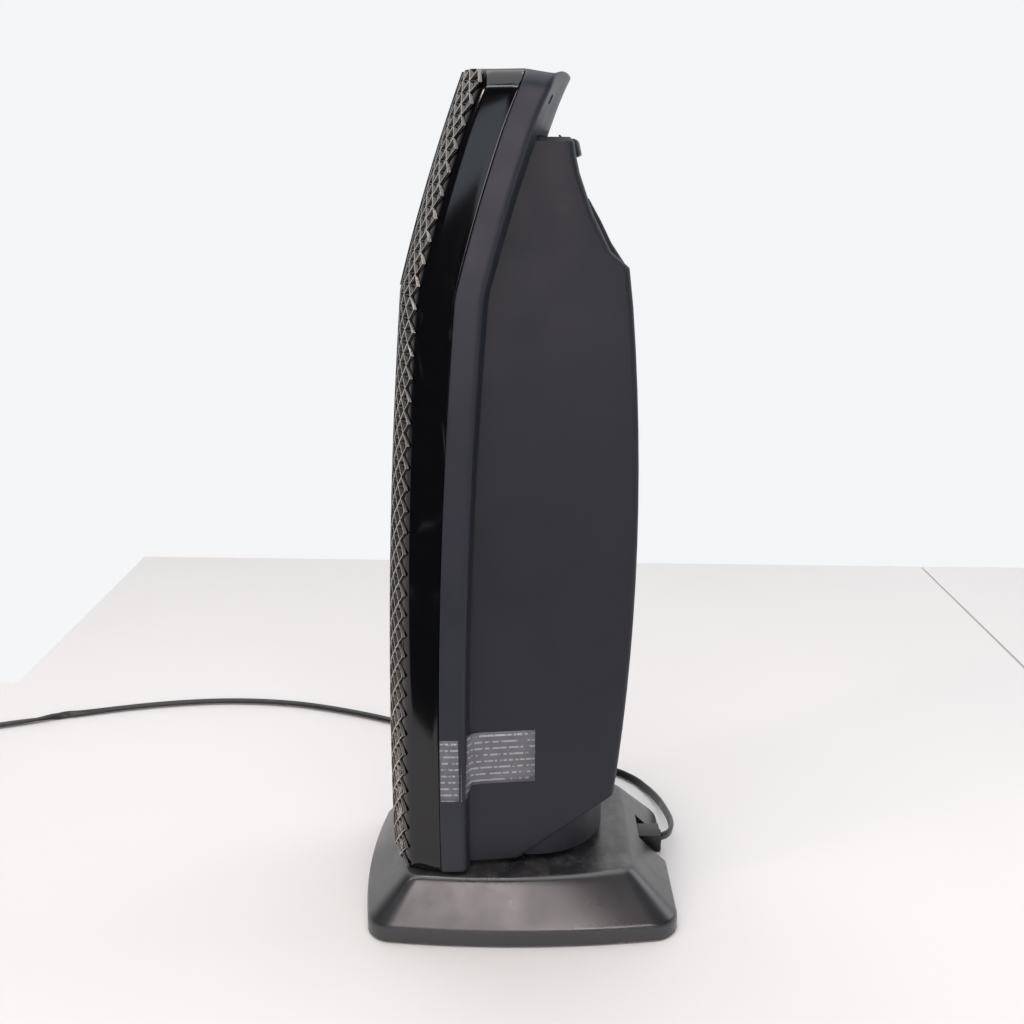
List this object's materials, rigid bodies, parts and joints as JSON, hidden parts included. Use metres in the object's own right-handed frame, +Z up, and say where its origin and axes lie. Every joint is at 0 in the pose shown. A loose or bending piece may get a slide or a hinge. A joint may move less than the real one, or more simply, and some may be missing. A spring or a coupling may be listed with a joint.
{
  "type": "ceramic space heater",
  "caption": "Oscillating ceramic tower heater: lattice-fronted column with a crossflow blower on a low bevelled base, with its cord.",
  "frame": {"origin": "middle of the base's footprint on the table", "axes": "+Z up, the grille faces -Y, the cord leaves at the back, +Y"},
  "size_m": [0.401, 0.7327, 0.581],
  "materials": {
    "satin_base_plastic": "satin moulded plastic, base",
    "matte_case_plastic": "fine-textured matte plastic, housing",
    "frame_plastic": "matte plastic, frame",
    "gloss_black": "polished black plastic",
    "grille_metallic": "gunmetal metallic coat",
    "window_smoke": "smoked display window",
    "black_rubber": "soft black rubber",
    "cord_pvc": "black PVC cord",
    "steel": "zinc-plated steel",
    "brass": "plain brass",
    "motor_steel": "motor can",
    "aluminium": "bare aluminium",
    "ceramic": "fired ceramic",
    "white_nylon": "natural nylon",
    "grey_plastic": "grey moulded plastic",
    "circuit_green": "printed circuit board",
    "filter_mesh": "woven filter mesh",
    "label_film": "matt translucent film, blank"
  },
  "bodies": {
    "base": {"base_shell": "satin_base_plastic", "base_bottom_plate": "matte_case_plastic", "rubber_feet": "black_rubber", "base_screws": "steel", "ballast_plate": "steel", "swivel_washer": "white_nylon", "oscillation_motor": "motor_steel", "motor_posts": "grey_plastic", "cord_strain_relief": "cord_pvc", "tip_over_switch": "grey_plastic", "power_cord": "cord_pvc", "cord_coil": "cord_pvc", "plug_lead": "cord_pvc", "plug_body": "cord_pvc", "plug_blades": "brass"},
    "column": {"swivel_skirt": "matte_case_plastic", "swivel_post": "matte_case_plastic", "swivel_retainer": "white_nylon", "sector_gear": "white_nylon", "rear_frame": "frame_plastic", "front_bezel": "gloss_black", "front_grille": "grille_metallic", "rear_housing": "matte_case_plastic", "control_panel": "frame_plastic", "remote_pocket": "matte_case_plastic", "side_label": "label_film", "case_screws": "steel", "blower_motor": "motor_steel", "upper_bracket": "grey_plastic", "upper_bearing": "brass", "motor_bracket": "grey_plastic", "blower_scroll": "grey_plastic", "blower_tongue": "grey_plastic", "outlet_duct": "aluminium", "heater_frame": "ceramic", "ceramic_elements": "ceramic", "heater_fins": "aluminium", "heater_terminals": "brass", "thermal_cutout": "ceramic", "control_board": "circuit_green", "tact_switches": "grey_plastic", "power_board": "circuit_green", "heater_relay": "grey_plastic", "inlet_filter": "filter_mesh", "wiring_harness": "black_rubber", "display_window": "window_smoke"},
    "wheel": {"blower_wheel": "grey_plastic", "blower_shaft": "steel"},
    "pinion": {"oscillation_pinion": "white_nylon"},
    "plunger": {"tip_over_plunger": "white_nylon"},
    "power_button": {"power_button": "frame_plastic"},
    "mode_button": {"mode_button": "frame_plastic"},
    "timer_button": {"timer_button": "frame_plastic"},
    "swing_button": {"swing_button": "frame_plastic"}
  },
  "joints": [
    {"name": "column_swing", "type": "hinge", "parent": "base", "child": "column", "pos_m": [0, 0.01, 0.045], "axis": [0, 0, 1], "range_deg": [-35, 35]},
    {"name": "pinion_spin", "type": "hinge", "parent": "base", "child": "pinion", "pos_m": [0, -0.026, 0.036], "axis": [0, 0, 1], "range_deg": [-180, 180]},
    {"name": "wheel_spin", "type": "hinge", "parent": "column", "child": "wheel", "pos_m": [0, 0.028, 0.2], "axis": [0, 0, 1], "continuous": true},
    {"name": "plunger_slide", "type": "slide", "parent": "base", "child": "plunger", "axis": [0, 0, -1], "range_m": [0, 0.006], "stiffness_N_per_m": 20, "springref_m": 0.008},
    {"name": "power_press", "type": "slide", "parent": "column", "child": "power_button", "axis": [0, 0, -1], "range_m": [0, 0.0012], "stiffness_N_per_m": 400, "springref_m": -0.0005},
    {"name": "mode_press", "type": "slide", "parent": "column", "child": "mode_button", "axis": [0, 0, -1], "range_m": [0, 0.0012], "stiffness_N_per_m": 400, "springref_m": -0.0005},
    {"name": "timer_press", "type": "slide", "parent": "column", "child": "timer_button", "axis": [0, 0, -1], "range_m": [0, 0.0012], "stiffness_N_per_m": 400, "springref_m": -0.0005},
    {"name": "swing_press", "type": "slide", "parent": "column", "child": "swing_button", "axis": [0, 0, -1], "range_m": [0, 0.0012], "stiffness_N_per_m": 400, "springref_m": -0.0005}
  ],
  "couplings": [
    {"joint": "pinion_spin", "follows": "column_swing", "ratio": -5}
  ]
}
